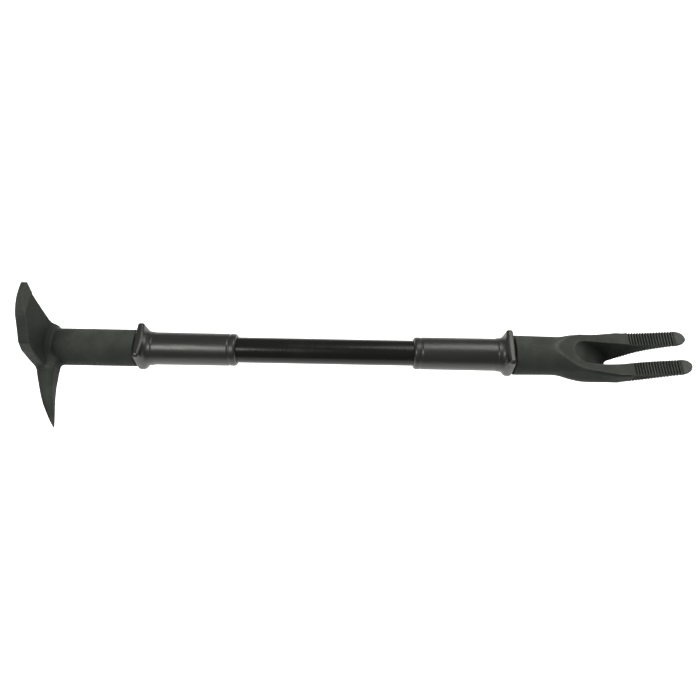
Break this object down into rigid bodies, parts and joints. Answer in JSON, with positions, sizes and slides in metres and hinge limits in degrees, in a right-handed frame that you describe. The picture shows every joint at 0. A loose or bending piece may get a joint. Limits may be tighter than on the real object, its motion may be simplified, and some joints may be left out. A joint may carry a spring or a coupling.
{
  "type": "pry bar",
  "caption": "Forcible-entry pry bar: adze and pike head, round handle with squared-guard grips, and a serrated forked claw.",
  "frame": {"origin": "on the bar's axis, at the outer face of the head", "axes": "+X along the bar from the head to the fork's tips, +Z the way the adze points, -Y the way the pike points"},
  "size_m": [0.762, 0.1355, 0.117],
  "materials": {
    "forging": "matte dark grey coating over forged steel",
    "tube": "gloss black",
    "grip": "gloss black moulded vinyl",
    "pin": "matte dark grey, dressed flush"
  },
  "bodies": {
    "root": {"head_forging": "forging", "claw_forging": "forging", "handle_tube": "tube", "head_grip": "grip", "claw_grip": "grip", "head_pin": "pin", "claw_pin": "pin"}
  },
  "joints": []
}
